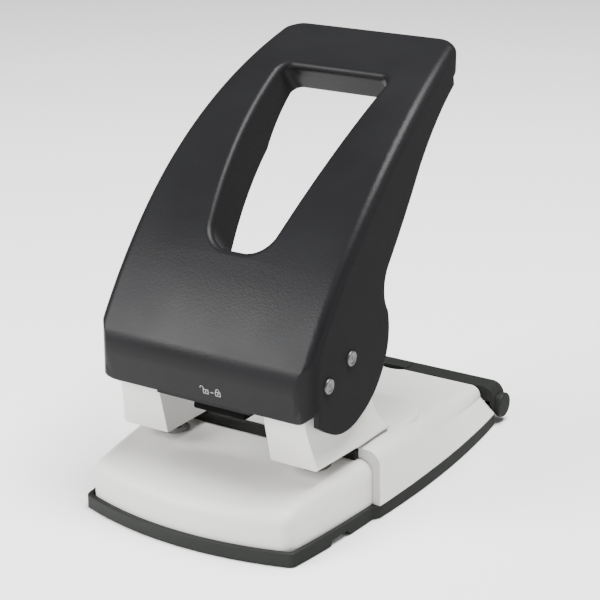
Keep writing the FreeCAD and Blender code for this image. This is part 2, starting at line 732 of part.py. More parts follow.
def chip_door():
    y0 = cover_rear_y + 0.6
    cap = door_outline(0, y0, depth - 0.1, rim_z + gap)
    bump = side_prism(8, (y0, door_top - 2), [(y0, door_top + 1.0), (depth - 4, door_top + 0.6),
                                              (depth - 1.5, door_top - 2)])
    bump = soften(bump, 0.9, lambda m, e: m.z > door_top and abs(m.x) > 7)
    cap = soften(cap, 3.0, lambda m, e: m.y > depth - 0.2 and m.z > 8)
    cap = cap.fuse(bump)
    cap = cap.cut(door_outline(wall, y0 + 2.0, depth - 0.1 - wall, 0))
    mouth = cover_loft(wall + 0.8, 6).common(box(-80, 80, y0 - 2, y0 + 3, 0, 60))
    cap = cap.cut(mouth)
    knuckle = rod_x(knuckle_r, door_half - 0.2, door_half + 3.0, hinge_y, hinge_z)
    knuckle = soften(knuckle, 1.0, lambda m, e: m.x > door_half + 2.9)
    lug = box(door_half - wall, door_half, hinge_y - 5, hinge_y + 5, rim_z + gap, hinge_z + 4)
    cap = cap.fuse([knuckle, mirror(knuckle), lug, mirror(lug)])
    tongue = box(-6, 6, y0 - 3.0, y0 + 2.2, door_top - 3.0, door_top - 1.6)
    cap = cap.fuse(tongue.common(thumb_notch(2 * gap))).removeSplitter()
    bore = rod_x(door_pin_r + bore_gap, 50, door_half + 1.2, hinge_y, hinge_z)
    clear = box(block_x - 4 - 2 * gap, door_half - wall, y0 - 1, y0 + 2.0 + gap, 0, hinge_z + 3 + gap)
    return cap.cut([both(bore), both(clear)])


def thumb_notch(inset):
    """Round notch in the rear edge of the deck that the door's tongue lies in."""
    return rod_z(8.5 - inset, 0, cover_rear_y + 5.0, 10, 30)


def door_block():
    """Block on the pan's rear corner that carries one stub pin."""
    y, z = hinge_y, hinge_z
    return side_prism(block_x, (pan_rear_y - 4, rim_z - 2), [
        (pan_rear_y - 4, rim_z + 3), (y - 2, z + 3), ((y + 3, z), (y - 1, z - 3)),
        (pan_rear_y, rim_z - 0.6), (pan_rear_y, rim_z - 2)], x0=block_x - 4)


def door_pins():
    """Two stub pins that stand out of small blocks on the pan's rear corners."""
    pin = rod_x(door_pin_r, block_x - 3, door_half + 1.0, hinge_y, hinge_z)
    return both(join([door_block(), pin]))


pieces = {
    "base_pan": base_pan(), "rubber_feet": rubber_feet(), "base_screws": base_screws(),
    "base_plate": base_plate(), "front_cover": front_cover(), "rear_cover": rear_cover(),
    "frame_left": frame(-1), "frame_right": frame(1), "frame_bolts": frame_bolts(),
    "die_plate": die_plate(), "die_left": die(-1), "die_right": die(1),
    "guide_bush_left": guide_bush(-1), "guide_bush_right": guide_bush(1),
    "pivot_bushes": pivot_bushes(), "paper_stop": paper_stop(),
    "return_spring_left": return_spring(-1), "return_spring_right": return_spring(1),
    "door_pins": door_pins(),
    "handle_shell": handle_shell(), "side_plate_left": side_plate(-1), "side_plate_right": side_plate(1),
    "plate_screws": plate_screws(), "pivot_pin": cross_pin(pivot_y, pivot_z),
    "press_pin": cross_pin(press_y, press_z), "pin_clips": pin_clips(),
    "punch_left": punch(-1), "punch_right": punch(1),
    "punch_collar_left": punch_collar(-1), "punch_collar_right": punch_collar(1),
    "lock_slider": lock_slider(), "chip_door": chip_door(),
}
for piece_name, piece_shape in pieces.items():
    export(piece_shape, piece_name)
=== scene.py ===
# %% [markdown]
# # A two-hole lever punch, dressed in Blender
#
# The solids of this punch come from a CAD model. Here they get the skins, marks, springs and finishes
# that make them look like the real thing. Everything is in metres, X to the right, Y to the rear, Z up,
# and every piece moves with the CAD body it is told to ride on.

# %% Load the frame and note the box it fills
import math

import bmesh
import bpy
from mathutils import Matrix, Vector


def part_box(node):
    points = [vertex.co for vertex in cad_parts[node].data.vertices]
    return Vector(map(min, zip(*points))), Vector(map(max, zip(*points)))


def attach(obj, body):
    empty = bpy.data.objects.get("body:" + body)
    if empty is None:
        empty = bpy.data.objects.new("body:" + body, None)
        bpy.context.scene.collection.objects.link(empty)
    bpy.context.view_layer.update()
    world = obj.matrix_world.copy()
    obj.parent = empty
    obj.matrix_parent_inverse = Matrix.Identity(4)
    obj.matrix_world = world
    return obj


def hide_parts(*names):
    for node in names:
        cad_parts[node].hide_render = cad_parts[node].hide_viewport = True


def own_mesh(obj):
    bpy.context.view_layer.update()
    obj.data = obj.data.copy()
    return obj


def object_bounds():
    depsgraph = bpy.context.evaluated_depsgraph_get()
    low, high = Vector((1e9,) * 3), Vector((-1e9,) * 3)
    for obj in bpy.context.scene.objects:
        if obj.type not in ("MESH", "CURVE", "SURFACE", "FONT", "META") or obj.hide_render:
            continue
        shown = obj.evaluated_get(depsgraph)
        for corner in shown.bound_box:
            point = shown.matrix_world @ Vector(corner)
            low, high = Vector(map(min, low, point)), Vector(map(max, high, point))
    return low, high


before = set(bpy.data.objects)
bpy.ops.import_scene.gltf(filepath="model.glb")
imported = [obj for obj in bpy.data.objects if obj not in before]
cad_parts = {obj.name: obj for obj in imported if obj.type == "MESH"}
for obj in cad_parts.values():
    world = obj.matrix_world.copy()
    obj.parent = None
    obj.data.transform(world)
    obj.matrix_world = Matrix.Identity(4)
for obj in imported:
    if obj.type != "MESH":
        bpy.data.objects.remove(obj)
cad_low, cad_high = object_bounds()
scene = bpy.context.scene
MM = 0.001
print("CAD box, mm:", [round(v / MM, 1) for v in (*cad_low, *cad_high)])

# %% [markdown]
# ## Colour and node helpers
#
# Colours are written as the sRGB hex values a painter or a phone would show. Shaders work in linear
# light, so one function turns a hex value into linear numbers. A second small function adds a node to
# a shader or geometry tree, sets it up and links it, which keeps each recipe readable from top to
# bottom.

# %% Helpers for colour and nodes
def linear(hex_colour):
    """Linear RGBA from an sRGB hex value."""
    channels = [int(hex_colour[i:i + 2], 16) / 255 for i in (1, 3, 5)]
    return [c / 12.92 if c <= 0.04045 else ((c + 0.055) / 1.055) ** 2.4 for c in channels] + [1.0]


def add(tree, kind, inputs=None, **settings):
    """Add a node, give it settings, and set or link its inputs by name or number.

    A list of sockets goes into one input that takes several, such as the one of Join Geometry.
    """
    node = tree.nodes.new(kind)
    for key, value in settings.items():
        setattr(node, key, value)
    for key, value in (inputs or {}).items():
        if isinstance(value, bpy.types.NodeSocket):
            tree.links.new(value, node.inputs[key])
        elif isinstance(value, list) and isinstance(value[0], bpy.types.NodeSocket):
            for socket in value:
                tree.links.new(socket, node.inputs[key])
        else:
            node.inputs[key].default_value = value
    return node


def new_material(name):
    """A material whose node tree is still empty, and that tree."""
    made = bpy.data.materials.new(name)
    made.use_nodes = True
    made.node_tree.nodes.clear()
    return made, made.node_tree


def per_metre(size_mm):
    """Scale of a texture whose features are about size_mm wide."""
    return 1.0 / (size_mm * MM)


noise_low, noise_high = 0.3, 0.7        # nearly all of a noise texture's values lie between these
mix_a, mix_b, mixed = 6, 7, 2           # a Mix node's two colour inputs, and its colour output
print("mid grey in linear light:", round(linear("#808080")[0], 3))

# %% [markdown]
# ## Moulded plastics
#
# The handle is injection-moulded ABS from a tool that was spark-eroded, which leaves a fine leathery
# grain and a satin sheen. The covers are the same process in a pale warm grey with a finer grain, the
# pan is a smoother polypropylene and the lock slide is acetal. A picture of grain could be wrapped
# round each piece, but noise on Object coordinates needs no unwrapping and has no seams.
#
# All share one recipe: a grain that is only bump, a slow drift in colour and roughness that keeps large
# faces from looking computed, and edges that are slightly softer and a little lighter where hands and
# paper have polished them. The Bevel node rounds the light at each edge, and comparing it with the true
# normal tells where the edges are. The sides of the dark mouldings come from coarser-eroded steel, so
# faces that look to the left or right are duller than the front.

# %% A recipe for moulded plastic
pit_grains = 1.6                    # the pits lie this many grains apart
drift_mm = 38.0                     # width of one patch of the slow drift
worn_dot = 0.75                     # rounded and true normal this far apart: fully worn edge
smoother, rougher = 0.03, 0.04      # how far the drift moves the roughness down and up
side_from, side_full = 0.7, 0.97    # sideways part of the normal where the coarser side begins, is full


def moulded_plastic(name, colour, drifted, worn, grain_mm, grain_depth_mm, roughness, edge_mm, wear,
                    gloss=0.5, side_rough=0.0):
    """Moulded plastic: grain, slow drift of tone, polished edges, and sides eroded rougher if asked."""
    material, tree = new_material(name)
    place = add(tree, "ShaderNodeTexCoord").outputs["Object"]
    grain = add(tree, "ShaderNodeTexNoise", {"Vector": place, "Scale": per_metre(grain_mm),
                                             "Detail": 3.0, "Roughness": 0.6})
    pits = add(tree, "ShaderNodeTexVoronoi", {"Vector": place,
                                              "Scale": per_metre(grain_mm * pit_grains)})
    height = add(tree, "ShaderNodeMath", {0: grain.outputs["Fac"], 1: pits.outputs["Distance"]},
                 operation="ADD")
    drift = add(tree, "ShaderNodeTexNoise", {"Vector": place, "Scale": per_metre(drift_mm),
                                             "Detail": 2.0})
    rounded = add(tree, "ShaderNodeBevel", {"Radius": edge_mm * MM}, samples=6)
    true_normal = add(tree, "ShaderNodeNewGeometry").outputs["Normal"]
    facing = add(tree, "ShaderNodeVectorMath", {0: rounded.outputs["Normal"], 1: true_normal},
                 operation="DOT_PRODUCT")
    edge = add(tree, "ShaderNodeMapRange", {"Value": facing.outputs["Value"], "From Min": 1.0,
                                            "From Max": worn_dot, "To Min": 0.0, "To Max": wear})
    base = add(tree, "ShaderNodeMix", {"Factor": drift.outputs["Fac"], mix_a: linear(colour),
                                       mix_b: linear(drifted)}, data_type="RGBA")
    polished = add(tree, "ShaderNodeMix", {"Factor": edge.outputs["Result"],
                                           mix_a: base.outputs[mixed],
                                           mix_b: linear(worn)}, data_type="RGBA")
    sheen = add(tree, "ShaderNodeMapRange", {"Value": drift.outputs["Fac"], "From Min": noise_low,
                                             "From Max": noise_high, "To Min": roughness - smoother,
                                             "To Max": roughness + rougher})
    across = add(tree, "ShaderNodeSeparateXYZ", {"Vector": true_normal})
    sideways = add(tree, "ShaderNodeMath", {0: across.outputs["X"]}, operation="ABSOLUTE")
    coarser = add(tree, "ShaderNodeMapRange", {"Value": sideways.outputs["Value"],
                                               "From Min": side_from, "From Max": side_full,
                                               "To Min": 0.0, "To Max": side_rough})
    rough = add(tree, "ShaderNodeMath", {0: sheen.outputs["Result"], 1: coarser.outputs["Result"]},
                operation="ADD")
    bump = add(tree, "ShaderNodeBump", {"Height": height.outputs["Value"], "Strength": 0.6,
                                        "Distance": grain_depth_mm * MM,
                                        "Normal": rounded.outputs["Normal"]})
    shader = add(tree, "ShaderNodeBsdfPrincipled", {"Base Color": polished.outputs[mixed],
                                                    "Roughness": rough.outputs["Value"],
                                                    "Normal": bump.outputs["Normal"], "IOR": 1.5,
                                                    "Specular IOR Level": gloss})
    add(tree, "ShaderNodeOutputMaterial", {"Surface": shader.outputs["BSDF"]})
    return material


# Real grain is 0.1 to 0.2 mm wide; it is drawn coarser so that it shows from arm's length.
black_abs = moulded_plastic("spark_eroded_black_abs", "#141415", "#18181a", "#2c2c2d",
                            grain_mm=0.7, grain_depth_mm=0.05, roughness=0.38, edge_mm=1.4, wear=0.2,
                            gloss=0.12, side_rough=0.5)
pale_abs = moulded_plastic("matt_warm_grey_abs", "#cfcecb", "#d5d4d1", "#e3e2df",
                           grain_mm=0.55, grain_depth_mm=0.018, roughness=0.5, edge_mm=0.7, wear=0.5)
# Besides the pan and the chip door, this charcoal also colours the paper stop bar, where it is painted
# shade in the throat.
charcoal_pp_and_throat_shade = moulded_plastic("charcoal_polypropylene_and_throat_shade", "#1c1e1c", "#212321", "#444644",
                          grain_mm=0.9, grain_depth_mm=0.02, roughness=0.5, edge_mm=0.4, wear=0.2,
                          gloss=0.15, side_rough=0.3)
# The slide is black acetal, and its colour is darkened well below the handle's black as painted shade
# under the handle's lip.
slide_pom_and_painted_shade = moulded_plastic("black_acetal_slide_and_painted_shade", "#050505", "#080808", "#161617",
                            grain_mm=0.8, grain_depth_mm=0.012, roughness=0.5, edge_mm=0.4, wear=0.2,
                            gloss=0.04)
print("plastics:", [m.name for m in (black_abs, pale_abs, charcoal_pp_and_throat_shade, slide_pom_and_painted_shade)])

# %% [markdown]
# ## Rubber
#
# The feet are moulded nitrile rubber. Plasticiser and desk dust give it a grey bloom, so the eye sees a
# black that is never quite even and never shines.

# %% Rubber of the feet
foot_rubber, tree = new_material("dusty_nitrile_rubber")
place = add(tree, "ShaderNodeTexCoord").outputs["Object"]
dust = add(tree, "ShaderNodeTexNoise", {"Vector": place, "Scale": per_metre(1.4), "Detail": 4.0})
tone = add(tree, "ShaderNodeMix", {"Factor": dust.outputs["Fac"], mix_a: linear("#1b1b1b"),
                                   mix_b: linear("#2c2b2a")}, data_type="RGBA")
bump = add(tree, "ShaderNodeBump", {"Height": dust.outputs["Fac"], "Strength": 0.4,
                                    "Distance": 0.03 * MM})
shader = add(tree, "ShaderNodeBsdfPrincipled", {"Base Color": tone.outputs[mixed], "Roughness": 0.8,
                                                "Normal": bump.outputs["Normal"]})
add(tree, "ShaderNodeOutputMaterial", {"Surface": shader.outputs["BSDF"]})
print("rubber:", foot_rubber.name)

# %% [markdown]
# ## Metals
#
# A metal's colour is its reflection, so what tells one from another is how it was worked. The pins are
# turned from free-cutting steel and their ends are riveted over, which leaves a mottled, rather dull
# face. Punches and dies are ground along their length, the frames are zinc-plated sheet with faint
# rolling lines from front to rear, the springs are drawn wire and the bushes are porous sintered
# bronze. One recipe serves them all: noise stretched along the tool's path moves the roughness and a
# very shallow bump, and a wider noise stains the colour.

# %% A recipe for worked metal
stain_mm = 9.0      # width of one stain
break_mm = 0.25     # radius at which sharp metal edges are broken
mark_deep_mm = 0.01


def worked_metal(name, colour, tarnish, roughness, spread, stretch, mark_mm):
    """Metal whose tool marks are stretched noise: a small number in stretch draws them out that way."""
    material, tree = new_material(name)
    place = add(tree, "ShaderNodeTexCoord").outputs["Object"]
    along = add(tree, "ShaderNodeMapping", {"Vector": place, "Scale": stretch})
    marks = add(tree, "ShaderNodeTexNoise", {"Vector": along.outputs["Vector"],
                                             "Scale": per_metre(mark_mm), "Detail": 3.0})
    stain = add(tree, "ShaderNodeTexNoise", {"Vector": place, "Scale": per_metre(stain_mm),
                                             "Detail": 3.0})
    tone = add(tree, "ShaderNodeMix", {"Factor": stain.outputs["Fac"], mix_a: linear(colour),
                                       mix_b: linear(tarnish)}, data_type="RGBA")
    sheen = add(tree, "ShaderNodeMapRange", {"Value": marks.outputs["Fac"], "From Min": noise_low,
                                             "From Max": noise_high, "To Min": roughness - spread,
                                             "To Max": roughness + spread})
    rounded = add(tree, "ShaderNodeBevel", {"Radius": break_mm * MM}, samples=4)
    bump = add(tree, "ShaderNodeBump", {"Height": marks.outputs["Fac"], "Strength": 0.5,
                                        "Distance": mark_deep_mm * MM,
                                        "Normal": rounded.outputs["Normal"]})
    shader = add(tree, "ShaderNodeBsdfPrincipled", {"Base Color": tone.outputs[mixed], "Metallic": 1.0,
                                                    "Roughness": sheen.outputs["Result"],
                                                    "Normal": bump.outputs["Normal"]})
    add(tree, "ShaderNodeOutputMaterial", {"Surface": shader.outputs["BSDF"]})
    return material


turned_steel = worked_metal("turned_free_cutting_steel", "#767474", "#4f4d4d", roughness=0.45,
                            spread=0.12, stretch=(1, 1, 1), mark_mm=0.8)
ground_steel = worked_metal("ground_tool_steel", "#b4b4b6", "#9b9b9d", roughness=0.25,
                            spread=0.06, stretch=(1, 1, 0.06), mark_mm=0.2)
plated_sheet = worked_metal("zinc_plated_sheet", "#b9bcc0", "#a6a9a9", roughness=0.4,
                            spread=0.08, stretch=(1, 0.1, 1), mark_mm=0.5)
drawn_wire = worked_metal("drawn_spring_wire", "#9c9c9f", "#7f7d7c", roughness=0.3,
                          spread=0.07, stretch=(1, 1, 1), mark_mm=0.3)
sinter_bronze = worked_metal("sintered_bronze", "#a9885a", "#8a6a41", roughness=0.5,
                             spread=0.07, stretch=(1, 1, 1), mark_mm=0.25)
print("metals:", [m.name for m in (turned_steel, ground_steel, plated_sheet, drawn_wire, sinter_bronze)])

# %% [markdown]
# ## Skins for the big mouldings
#
# A CAD solid arrives as loose triangles, which shade as facets, and smooth shading alone changes
# nothing on triangles that share no corners. For each moulding that is seen, a copy is welded, its
# sharp edges are kept and everything else is shaded smooth, with normals weighted by face area so that
# broad flat faces stay flat right up to their rounded corners. The copy stands for the solid, which
# stays hidden and still carries the collisions.

# %% A welded, smoothly shaded copy of a CAD node
weld_mm = 0.002
skin_sharp_deg = 32.0


def welded(node):
    """BMesh of a CAD node with the corners of its loose triangles merged. The caller frees it."""
    work = bmesh.new()
    work.from_mesh(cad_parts[node].data)
    bmesh.ops.remove_doubles(work, verts=work.verts, dist=weld_mm * MM)
    return work


def smooth_but(mesh, sharp_deg):
    """Shade a mesh smooth, except across edges sharper than the angle."""
    mesh.polygons.foreach_set("use_smooth", [True] * len(mesh.polygons))
    mesh.set_sharp_from_angle(angle=math.radians(sharp_deg))


def stand_in(piece, body, node):
    """Let a finished piece ride on a body, in place of a CAD node, which is hidden."""
    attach(piece, body)
    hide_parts(node)
    print(piece.name, "for", node, "on", body, "faces", len(piece.data.polygons))


def skin(node, name, body, material):
    """Copy a node, weld it, shade it smooth between sharp edges, and let it stand for the node."""
    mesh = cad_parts[node].data.copy()
    piece = bpy.data.objects.new(name, mesh)
    scene.collection.objects.link(piece)
    work = welded(node)
    work.to_mesh(mesh)
    work.free()
    if "custom_normal" in mesh.attributes:
        mesh.attributes.remove(mesh.attributes["custom_normal"])
    smooth_but(mesh, skin_sharp_deg)
    mesh.materials.clear()
    mesh.materials.append(material)
    weighted = piece.modifiers.new("weighted", "WEIGHTED_NORMAL")
    weighted.keep_sharp = True
    weighted.weight = 60
    stand_in(piece, body, node)
    return piece


# %% Dress the mouldings
handle_skin = skin("handle_shell", "handle_moulding", "handle", black_abs)
skin("front_cover", "paper_table_moulding", "base", pale_abs)
skin("rear_cover", "arm_cover_moulding", "base", pale_abs)
skin("base_pan", "pan_moulding", "base", charcoal_pp_and_throat_shade)
skin("chip_door", "chip_door_moulding", "chip_door", charcoal_pp_and_throat_shade)
skin("lock_slider", "lock_slide_moulding", "lock_slider", slide_pom_and_painted_shade)
# The paper stop bar takes the charcoal finish as painted shade: the dark bar stands for the shadow in the
# throat between the arms.
skin("paper_stop", "paper_stop_bar_painted_shade", "base", charcoal_pp_and_throat_shade)

# %% [markdown]
# ## Finishes for the solids that are shown as they are
#
# Small turned, punched and bent pieces already have their right shape in CAD, so they only need their
# metal.

# %% Give the plain CAD nodes their materials
plain_finishes = {
    plated_sheet: ["base_plate", "frame_left", "frame_right", "die_plate", "side_plate_left",
                   "side_plate_right", "frame_bolts", "plate_screws"],
    ground_steel: ["die_left", "die_right", "punch_left", "punch_right", "punch_collar_left",
                   "punch_collar_right"],
    turned_steel: ["door_pins"],
    drawn_wire: ["pin_clips"],
    sinter_bronze: ["guide_bush_left", "guide_bush_right", "pivot_bushes"],
}
for material, nodes in plain_finishes.items():
    for node in nodes:
        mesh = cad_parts[node].data
        mesh.materials.clear()
        mesh.materials.append(material)
print("finished as they are:", sum(len(nodes) for nodes in plain_finishes.values()))

# %% [markdown]
# ## Cross pins
#
# The ends of the two cross pins are riveted over a pointed die: a round rim stands up, the middle is a
# shallow dish with a centre mark, and the face is lightly pitted. One profile of depth and radius,
# turned round the pin's axis and mirrored, gives the whole pin. A Screw modifier could turn it too, but
# a short loop makes each pole a single corner, so nothing has to be merged afterwards.

# %% Turn a pin from its end profile
pin_end_mm = [(0.42, 0.0), (0.34, 0.3), (0.16, 0.55), (0.3, 0.8), (0.34, 1.7), (0.26, 2.2), (0.06, 2.55),
              (0.0, 2.85), (0.03, 3.15), (0.16, 3.4), (0.42, 3.56), (0.75, 3.6), (1.08, 3.6), (1.1, 3.19)]
pin_sides = 48
pin_sharp_deg = 40.0


def turned_pin(name, node, body, material):
    """Pin across the width: the end profile (depth, radius) spun about X, both ends alike."""
    low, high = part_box(node)
    y, z, reach = (low.y + high.y) / 2, (low.z + high.z) / 2, high.x
    profile = [(depth * MM - reach, radius * MM) for depth, radius in pin_end_mm]
    profile += [(-x, radius) for x, radius in reversed(profile)]
    work = bmesh.new()
    rings = []
    for x, radius in profile:
        turns = [math.tau * k / pin_sides for k in range(pin_sides if radius else 1)]
        rings.append([work.verts.new((x, y + radius * math.cos(a), z + radius * math.sin(a)))
                      for a in turns])
    for first, second in zip(rings, rings[1:]):
        for k in range(pin_sides):
            corners = [first[k % len(first)], second[k % len(second)],
                       second[(k + 1) % len(second)], first[(k + 1) % len(first)]]
            work.faces.new(list(dict.fromkeys(corners)))
    bmesh.ops.recalc_face_normals(work, faces=work.faces)
    mesh = bpy.data.meshes.new(name)
    work.to_mesh(mesh)
    work.free()
    smooth_but(mesh, pin_sharp_deg)
    mesh.materials.append(material)
    pin = bpy.data.objects.new(name, mesh)
    scene.collection.objects.link(pin)
    stand_in(pin, body, node)


turned_pin("pivot_pin_turned", "pivot_pin", "handle", turned_steel)
turned_pin("press_pin_turned", "press_pin", "handle", turned_steel)

# %% [markdown]
# ## Lock marks
#
# Over the slide two small padlocks, one open and one closed with a dash between, are pad-printed on the
# handle's band. A silicone pad lays a thin, slightly patchy film of pale ink. A mask in the handle's
# material could colour it, but strokes of real geometry stay sharp from any distance. They are drawn
# in the band's plane, pressed onto the moulding along its own surface, and a Solidify modifier gives
# the film its few hundredths of a millimetre.

# %% Ink of the marks
ink, tree = new_material("pale_pad_printing_ink")
place = add(tree, "ShaderNodeTexCoord").outputs["Object"]
cover = add(tree, "ShaderNodeTexNoise", {"Vector": place, "Scale": per_metre(0.5), "Detail": 3.0})
tone = add(tree, "ShaderNodeMix", {"Factor": cover.outputs["Fac"], mix_a: linear("#8b8b8b"),
                                   mix_b: linear("#bdbdbc")}, data_type="RGBA")
shader = add(tree, "ShaderNodeBsdfPrincipled", {"Base Color": tone.outputs[mixed], "Roughness": 0.5})
add(tree, "ShaderNodeOutputMaterial", {"Surface": shader.outputs["BSDF"]})
print("ink:", ink.name)

# %% Strokes of a padlock, in millimetres
line = 0.3                              # width of a printed line
body_half, body_high = 1.3, 2.0         # the padlock's body
shackle_half, shackle_rise = 0.85, 0.7  # the shackle: half its width, and the straight part of its legs
key_low, key_high, key_wide = 0.75, 1.3, 0.5    # the keyhole: from, to and width


def stroke(points, width):
    """Flat ribbon of quads along points (X, Z) of a polyline, with ends that reach past the corners."""
    quads = []
    for (x0, z0), (x1, z1) in zip(points, points[1:]):
        dx, dz = x1 - x0, z1 - z0
        s = width / 2 / math.hypot(dx, dz)
        nx, nz, ex, ez = -dz * s, dx * s, dx * s / 2, dz * s / 2
        quads.append([(x0 - ex + nx, z0 - ez + nz), (x0 - ex - nx, z0 - ez - nz),
                      (x1 + ex - nx, z1 + ez - nz), (x1 + ex + nx, z1 + ez + nz)])
    return quads


def shackle(x, z, foot, steps=8):
    """Points of a shackle: two legs and a half round. The left leg ends foot above the right one."""
    turn = [(x - shackle_half * math.cos(math.pi * k / steps),
             z + shackle_rise + shackle_half * math.sin(math.pi * k / steps)) for k in range(steps + 1)]
    return [(x - shackle_half, z + foot)] + turn + [(x + shackle_half, z)]


def padlock(x, z, shackle_x, foot):
    """Strokes of a padlock whose body stands on z with its middle at x."""
    left, right, top = x - body_half, x + body_half, z + body_high
    body = [(left, z), (right, z), (right, top), (left, top), (left, z)]
    return (stroke(shackle(shackle_x, top, foot), line) + stroke(body, line)
            + stroke([(x, z + key_low), (x, z + key_high)], key_wide))


mark_x, mark_z = 6.4, 66.9              # between the padlocks, at their feet
open_x, closed_x = mark_x - 3.2, mark_x + 3.4
swung, short_leg = 2.0, 0.5             # the open shackle: how far it stands to the left, its free leg
dash_x, dash_long, dash_z = mark_x - 0.5, 1.4, mark_z + 1.1
strokes = padlock(open_x, mark_z, open_x - swung, short_leg)
strokes += stroke([(dash_x, dash_z), (dash_x + dash_long, dash_z)], line)
strokes += padlock(closed_x, mark_z, closed_x, 0.0)
print("strokes:", len(strokes))

# %% Press the strokes onto the band
film_mm = 0.03
start_y = cad_low.y - 20 * MM           # the rays start well in front of the handle
work = bmesh.new()
for quad in strokes:
    corners = []
    for x, z in quad:
        _, point, normal, _ = handle_skin.ray_cast(Vector((x * MM, start_y, z * MM)), Vector((0, 1, 0)))
        corners.append(work.verts.new(point + normal * film_mm * MM))
    work.faces.new(corners)
bmesh.ops.recalc_face_normals(work, faces=work.faces)
for face in work.faces:
    if face.normal.y > 0:
        face.normal_flip()
mesh = bpy.data.meshes.new("lock_marks")
work.to_mesh(mesh)
work.free()
mesh.materials.append(ink)
marks = bpy.data.objects.new("lock_marks", mesh)
scene.collection.objects.link(marks)
film = marks.modifiers.new("ink_film", "SOLIDIFY")
film.thickness = film_mm * MM
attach(marks, "handle")
print("lock mark quads:", len(mesh.polygons))

# %% [markdown]
# ## Trees for what repeats
#
# Springs, screws and feet each come more than once, so each is a Geometry Nodes tree: a shape made from
# named sizes and instanced on the points of the mesh that carries the modifier. An export drops
# instances, so each tree makes them real before it sets the material. The grown mesh is then copied out
# and the modifier goes away with its carrier.

# %% Helpers to start, end and grow a tree
def new_tree(name, *labels):
    """A tree with geometry in and out and one number for each label, and the tree's inputs."""
    tree = bpy.data.node_groups.new(name, "GeometryNodeTree")
    tree.interface.new_socket("Geometry", in_out="OUTPUT", socket_type="NodeSocketGeometry")
    tree.interface.new_socket("Geometry", in_out="INPUT", socket_type="NodeSocketGeometry")
    for label in labels:
        tree.interface.new_socket(label, in_out="INPUT", socket_type="NodeSocketFloat")
    return tree, add(tree, "NodeGroupInput").outputs


def end_tree(tree, shape, points, material):
    """Instance the shape on the points, make it real and give it its material (sockets)."""
    placed = add(tree, "GeometryNodeInstanceOnPoints", {"Points": points, "Instance": shape})
    real = add(tree, "GeometryNodeRealizeInstances", {"Geometry": placed.outputs["Instances"]})
    coated = add(tree, "GeometryNodeSetMaterial", {"Geometry": real.outputs["Geometry"],
                                                   "Material": material})
    add(tree, "NodeGroupOutput", {"Geometry": coated.outputs["Geometry"]})
    print(tree.name, len(tree.nodes), "nodes")


def grow(name, tree, values, spots):
    """Run a tree on loose points with the values of its inputs, and return a plain mesh object."""
    seed = bpy.data.objects.new(name + "_seed", bpy.data.meshes.new(name + "_seed"))
    seed.data.from_pydata(spots, [], [])
    scene.collection.objects.link(seed)
    modifier = seed.modifiers.new("grow", "NODES")
    modifier.node_group = tree
    for item in tree.interface.items_tree:
        if item.in_out == "INPUT" and item.name in values:
            modifier[item.identifier] = values[item.name]
    depsgraph = bpy.context.evaluated_depsgraph_get()
    mesh = bpy.data.meshes.new_from_object(seed.evaluated_get(depsgraph), depsgraph=depsgraph)
    bpy.data.objects.remove(seed)
    mesh.name = name
    made = bpy.data.objects.new(name, mesh)
    scene.collection.objects.link(made)
    return made


# %% [markdown]
# ## Return springs
#
# Each punch is lifted by a compression spring. A helix has a rule, so it isn't drawn: a Spiral curve
# carries a round wire, and its height, radius and turns stay open to change. One tree makes both
# springs.

# %% A tree for a helical spring
spring_tree, given = new_tree("return_spring", "Coil radius", "Height", "Wire radius", "Turns")
coil = add(spring_tree, "GeometryNodeCurveSpiral", {"Resolution": 28, "Rotations": given["Turns"],
                                                    "Start Radius": given["Coil radius"],
                                                    "End Radius": given["Coil radius"],
                                                    "Height": given["Height"]})
wire = add(spring_tree, "GeometryNodeCurvePrimitiveCircle", {"Resolution": 14,
                                                             "Radius": given["Wire radius"]})
tube = add(spring_tree, "GeometryNodeCurveToMesh", {"Curve": coil.outputs["Curve"],
                                                    "Profile Curve": wire.outputs["Curve"],
                                                    "Fill Caps": True})
smooth = add(spring_tree, "GeometryNodeSetShadeSmooth", {"Geometry": tube.outputs["Mesh"]})
end_tree(spring_tree, smooth.outputs["Geometry"], given["Geometry"], drawn_wire)

# %% Make both return springs
wire_r = 0.5 * MM
for side in ("left", "right"):
    node = "return_spring_" + side
    low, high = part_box(node)
    middle = (low + high) / 2
    values = {"Coil radius": (high.x - low.x) / 2 - wire_r, "Height": high.z - low.z - 2 * wire_r,
              "Wire radius": wire_r, "Turns": 5.0}
    spring = grow("coil_" + side, spring_tree, values, [(middle.x, middle.y, low.z + wire_r)])
    stand_in(spring, "base", node)
    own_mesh(spring)

# %% [markdown]
# ## Where the screws and feet stand
#
# Six thread-forming screws hold the covers from below, and four rubber pads keep the punch from
# sliding. Their places are not typed in: they are read from the CAD solids, one for each separate
# island of the node's mesh. An island is found by walking along edges until no new corner turns up.

# %% Find the separate solids of a node
def islands(node):
    """Lowest and highest corner of each separate island of a CAD node's mesh."""
    work = welded(node)
    left = set(work.verts)
    boxes = []
    while left:
        todo = [left.pop()]
        found = list(todo)
        while todo:
            corner = todo.pop()
            fresh = left & {edge.other_vert(corner) for edge in corner.link_edges}
            left -= fresh
            todo += fresh
            found += fresh
        axes = [[corner.co[k] for corner in found] for k in range(3)]
        boxes.append((Vector([min(a) for a in axes]), Vector([max(a) for a in axes])))
    work.free()
    return sorted(boxes, key=lambda pair: tuple(pair[0]))


def foot_points(boxes):
    """Middle of each box in plan, at its lowest height."""
    return [((low.x + high.x) / 2, (low.y + high.y) / 2, low.z) for low, high in boxes]


screw_boxes, foot_boxes = islands("base_screws"), islands("rubber_feet")
print("screws:", len(screw_boxes), "feet:", len(foot_boxes))

